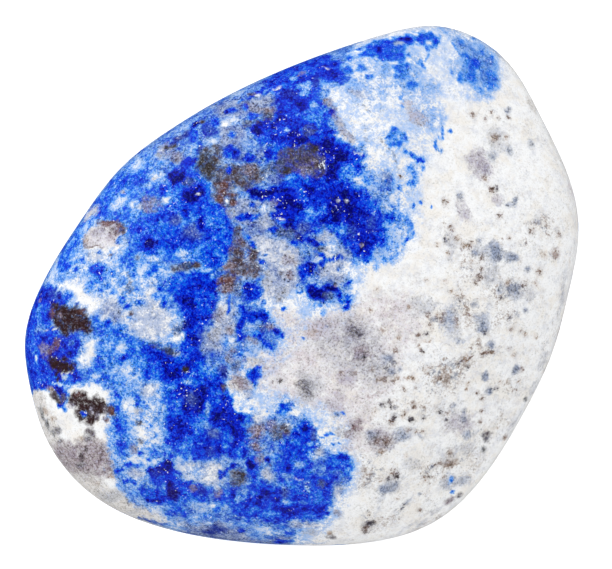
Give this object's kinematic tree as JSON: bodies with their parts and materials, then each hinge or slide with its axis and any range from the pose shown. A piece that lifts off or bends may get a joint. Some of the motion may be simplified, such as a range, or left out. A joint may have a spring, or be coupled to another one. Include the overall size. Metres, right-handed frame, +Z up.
{
  "type": "tumbled lapis lazuli stone",
  "caption": "Smooth tumbled pebble of blue lapis lazuli in white marble, a rounded uneven triangle that rests on a small flat spot.",
  "frame": {"origin": "bottom centre of the stone's box, on the plane of the small flat spot it rests on", "axes": "+Z up from the resting spot through the broad face, +X along the stone's long way, to the picture's right, +Y to the picture's top"},
  "size_m": [0.0276, 0.026, 0.0116],
  "materials": {
    "lapis": "tumbled to a satin polish"
  },
  "bodies": {
    "root": {"lapis_stone": "lapis"}
  },
  "joints": []
}
